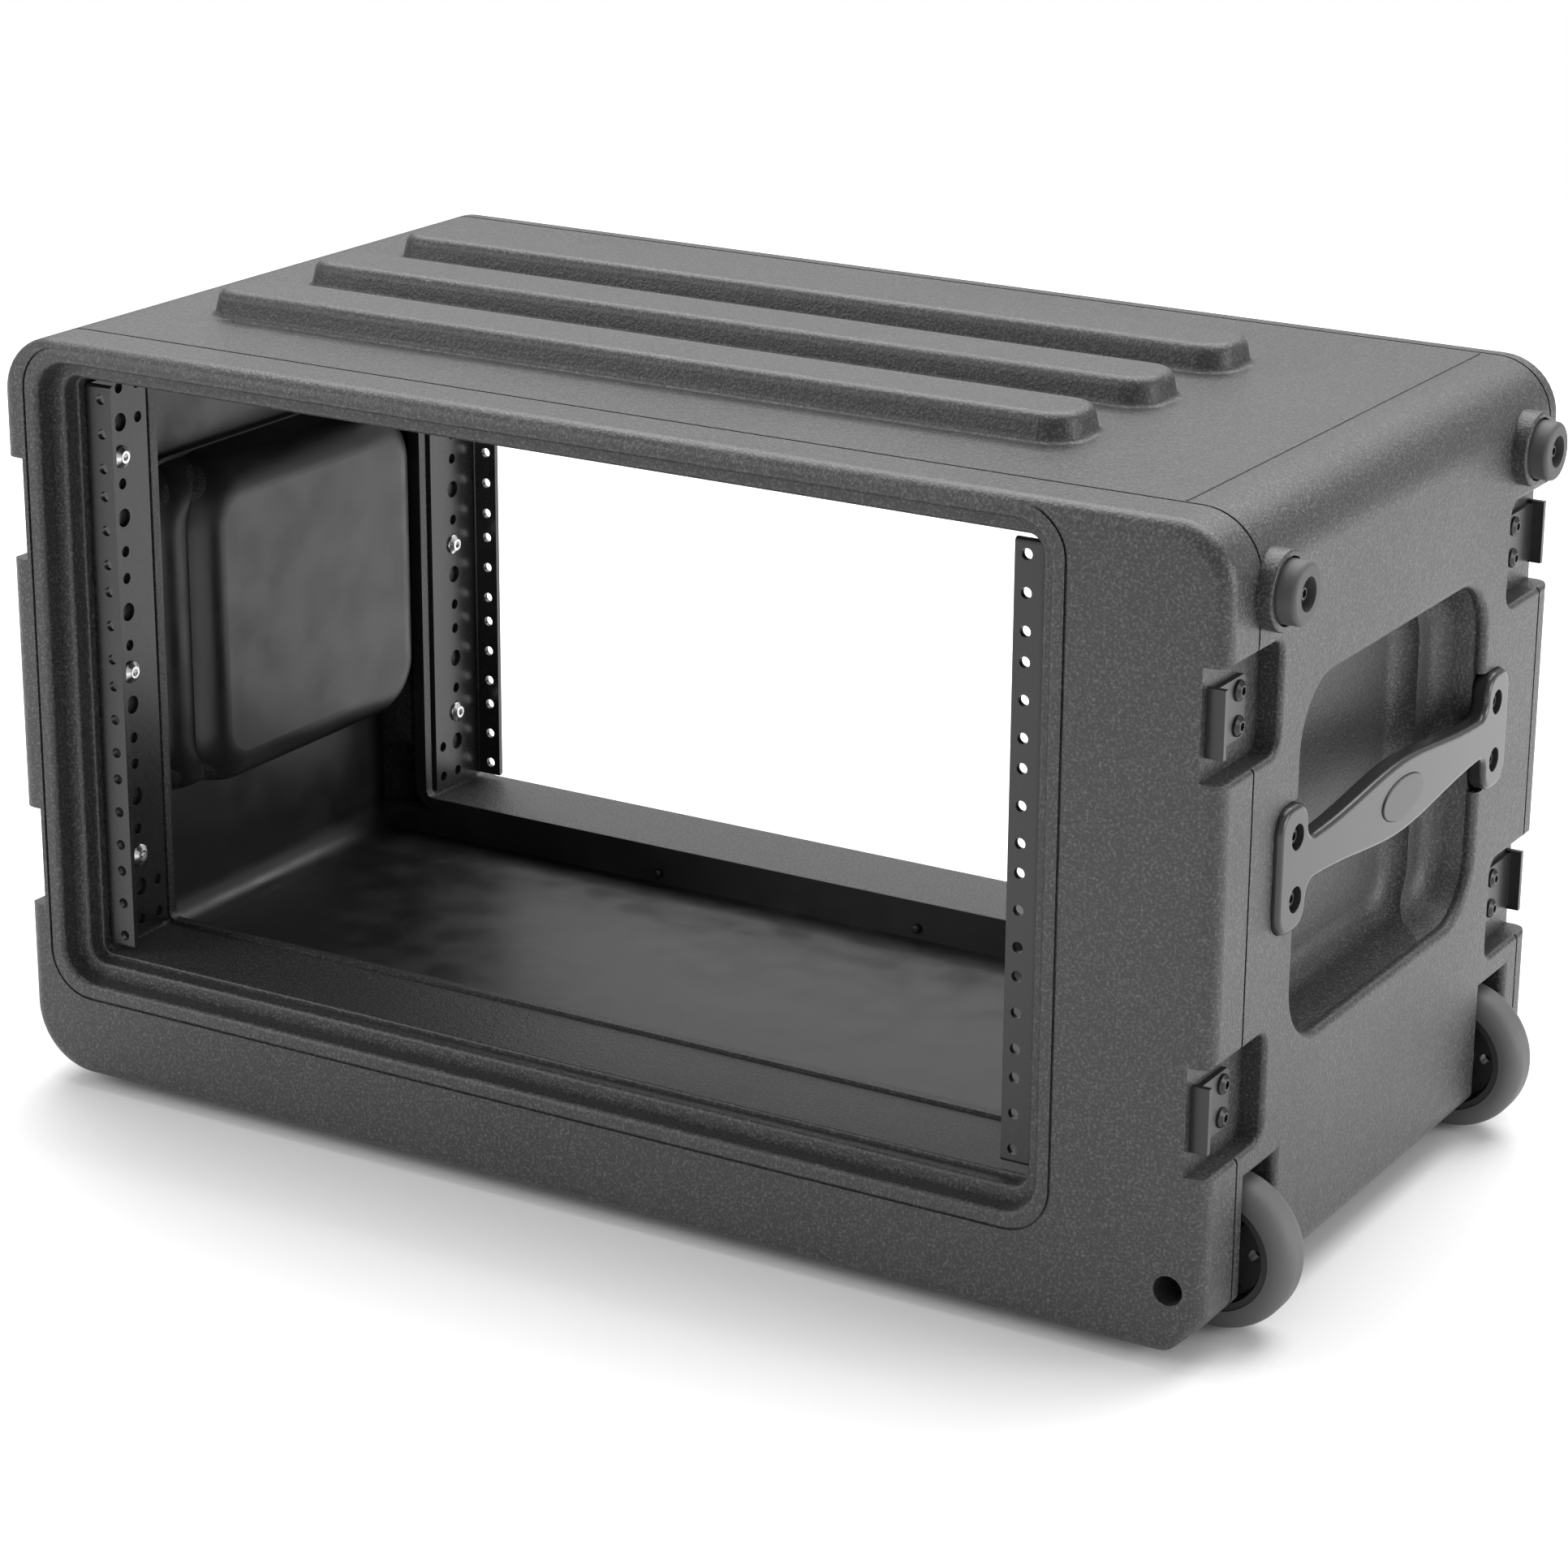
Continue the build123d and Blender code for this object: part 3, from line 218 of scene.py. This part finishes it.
def make_skin():
    """Grained outside and smooth, glossy inside."""
    material = bpy.data.materials.new("moulded skin")
    material.use_nodes = True
    tree = material.node_tree
    shader = tree.nodes["Principled BSDF"]
    place = tree.nodes.new("ShaderNodeTexCoord").outputs["Object"]
    inside = inside_mask(tree, place)
    outside = sums(tree, "SUBTRACT", 1.0, inside)

    drift = noise(tree, place, 7, 4, 0.6)
    grain = noise(tree, place, GRAIN, 2, 0.6)
    coarse = noise(tree, place, GRAIN / 3, 2, 0.5)
    flow = noise(tree, place, 14, 2, 0.4)
    rubbed = noise(tree, place, 45, 3, 0.5)

    outside_tone = blend_colours(tree, spread(tree, drift, 0, 1), SKIN_DARK, SKIN_LIGHT)
    # Painted glints: where the fine grain noise is high, the outside colour turns light grey in place
    # of real sparkle of light.
    painted_glint_amount = spread(tree, grain, 0, 0.75, 0.48, 0.78)
    grained_tone_with_glints = blend_colours(tree, painted_glint_amount, outside_tone, PAINTED_GLINT_GREY)
    inside_tone = blend_colours(tree, spread(tree, rubbed, 0, 1, 0.45, 0.75), INSIDE_DARK, INSIDE_LIGHT)
    tree.links.new(blend_colours(tree, inside, grained_tone_with_glints, inside_tone), shader.inputs["Base Color"])

    outside_rough = spread(tree, drift, 0.38, 0.47)
    inside_rough = spread(tree, rubbed, 0.32, 0.46, 0.35, 0.7)
    rough = sums(tree, "ADD", sums(tree, "MULTIPLY", outside_rough, outside),
                 sums(tree, "MULTIPLY", inside_rough, inside))
    tree.links.new(rough, shader.inputs["Roughness"])

    height = sums(tree, "ADD", sums(tree, "MULTIPLY", grain, 0.6), sums(tree, "MULTIPLY", coarse, 0.4))
    grained = bump(tree, sums(tree, "MULTIPLY", height, outside), GRAIN_DEPTH)
    waved = bump(tree, sums(tree, "MULTIPLY", flow, inside), FLOW_DEPTH, grained)
    tree.links.new(waved, shader.inputs["Normal"])
    return material

materials = {"case_plastic": make_skin()}
print("skin shader nodes:", len(materials["case_plastic"].node_tree.nodes))

# %% [markdown]
# ## Steel, rubber and the other plastics
# The rails and keepers are painted steel, so they are smoother than the case. The rail screws
# are bright zinc and catch the light inside the bay. Handle, keeper and foot screws are
# blackened. The handles are a denser, shinier plastic than the case, the tyres a grey rubber
# with no shine at all, and the little end feet a darker one.

# %% Finishes of the other slots
materials["rail_steel"] = finish("black rail paint", (0.012, 0.012, 0.013), (0.02, 0.02, 0.021),
                                 (0.24, 0.32), 300, 0.00001, soft_edge=0.0002)
materials["keeper_steel"] = finish("black keeper paint", (0.013, 0.013, 0.014), (0.022, 0.022, 0.023),
                                   (0.28, 0.4), 1100, 0.00004)
materials["bright_steel"] = finish("bright zinc", (0.62, 0.62, 0.63), (0.78, 0.78, 0.79),
                                   (0.16, 0.32), 1600, 0.00002, metal=1.0, soft_edge=0.0003)
materials["plain_steel"] = finish("plain steel", (0.38, 0.38, 0.39), (0.52, 0.52, 0.53),
                                  (0.3, 0.5), 1400, 0.00003, metal=1.0)
materials["black_screws"] = finish("blackened screws", (0.014, 0.014, 0.015), (0.03, 0.03, 0.031),
                                   (0.25, 0.4), 1500, 0.00003, metal=0.4, soft_edge=0.0003)
materials["handle_plastic"] = finish("handle plastic", (0.022, 0.022, 0.023), (0.03, 0.03, 0.031),
                                     (0.2, 0.28), 1300, 0.00002, soft_edge=0.0006)
materials["medallion_plastic"] = finish("medallion plastic", (0.03, 0.03, 0.031),
                                        (0.045, 0.045, 0.046), (0.3, 0.42), 1300, 0.00003)
materials["foot_rubber"] = finish("foot rubber", (0.045, 0.045, 0.046), (0.07, 0.07, 0.071),
                                  (0.5, 0.65), 1200, 0.00005)
materials["tyre_rubber"] = finish("tyre rubber", (0.075, 0.075, 0.075), (0.11, 0.11, 0.11),
                                  (0.5, 0.66), 1400, 0.00005)
materials["hub_plastic"] = finish("hub plastic", (0.012, 0.012, 0.012), (0.02, 0.02, 0.02),
                                  (0.4, 0.55), 1200, 0.00004)
materials["bearing_bronze"] = finish("bearing bronze", (0.3, 0.2, 0.1), (0.45, 0.31, 0.17),
                                     (0.3, 0.5), 1500, 0.00003, metal=1.0)

for name, piece in nodes.items():
    piece.data.materials.clear()
    piece.data.materials.append(materials[slot_of[name]])
    for face in piece.data.polygons:
        face.material_index = 0
print("finishes:", sorted(materials))

# %% [markdown]
# ## Floor and light
# The case stands on a plain pale floor in a white room. A wide panel above and behind draws the
# sheen on the top, a panel to the left lights the front, and a weaker one low on the right
# brightens the handle end.

# %% Floor
FLOOR_SIZE = 4.4             # metres; small enough to stay inside the light of the panels
bpy.ops.mesh.primitive_plane_add(size=FLOOR_SIZE, location=(0, 0, 0))
floor = bpy.context.object
floor.name = "floor"
paper = bpy.data.materials.new("pale paper")
paper.use_nodes = True
paper_tree = paper.node_tree
paper_place = paper_tree.nodes.new("ShaderNodeTexCoord").outputs["Object"]
paper_noise = noise(paper_tree, paper_place, 3, 3, 0.5)
paper_shader = paper_tree.nodes["Principled BSDF"]
paper_tree.links.new(blend_colours(paper_tree, paper_noise, (0.92, 0.92, 0.92), (0.95, 0.95, 0.95)),
                     paper_shader.inputs["Base Color"])
paper_shader.inputs["Roughness"].default_value = 0.9
paper_shader.inputs["Specular IOR Level"].default_value = 0.1
floor.data.materials.append(paper)

# %% Light
world = bpy.data.worlds.new("room")
world.use_nodes = True
room = world.node_tree
# The room looks white behind the floor, but it lights the case only dimly from all sides, so
# that the panels shape it.
seen = room.nodes.new("ShaderNodeLightPath").outputs["Is Camera Ray"]
room.links.new(spread(room, seen, 0.6, 1.0, 0, 1), room.nodes["Background"].inputs["Strength"])
room.nodes["Background"].inputs["Color"].default_value = (1, 1, 1, 1)
bpy.context.scene.world = world


def panel(name, place, target, width, height, power):
    """A soft rectangular light aimed at a point."""
    data = bpy.data.lights.new(name, "AREA")
    data.shape = "RECTANGLE"
    data.size = width
    data.size_y = height
    data.energy = power
    lamp = bpy.data.objects.new(name, data)
    lamp.location = place
    lamp.rotation_euler = (Vector(place) - Vector(target)).to_track_quat("Z", "Y").to_euler()
    bpy.context.scene.collection.objects.link(lamp)
    return lamp


middle = (0, 0, 0.18)
panel("top panel", (-0.3, 1.2, 2.8), middle, 4.2, 3.2, 175)
panel("left panel", (-2.2, -2.2, 1.5), middle, 1.8, 1.8, 36)
panel("right panel", (2.4, 0.6, 0.6), middle, 1.2, 1.0, 24)
bpy.context.scene.view_settings.view_transform = "Standard"

# %% [markdown]
# ## Camera
# The case is seen from the front right and a little above, so that the open bay, the ribs and
# the handle end all show. The lens is long, which keeps the edges of the case nearly parallel.

# %% Camera
YAW, PITCH, ROLL = math.radians(30.15), math.radians(18.80), math.radians(0.63)
back = Vector((math.sin(YAW) * math.cos(PITCH), -math.cos(YAW) * math.cos(PITCH), math.sin(PITCH)))
level = Vector((math.cos(YAW), math.sin(YAW), 0))
upright = back.cross(level)
right = math.cos(ROLL) * level + math.sin(ROLL) * upright
up = math.cos(ROLL) * upright - math.sin(ROLL) * level
camera_data = bpy.data.cameras.new("camera")
camera_data.sensor_width = 36
camera_data.lens = 99.58
camera_data.shift_x = -0.0383
camera_data.shift_y = -0.0062
camera = bpy.data.objects.new("camera", camera_data)
camera.matrix_world = Matrix.Translation((0.95865, -1.6010, 0.7910)) @ Matrix(
    (right, up, back)).transposed().to_4x4()
bpy.context.scene.collection.objects.link(camera)
bpy.context.scene.camera = camera
print("camera distance:", round(camera.location.length, 2), "m")
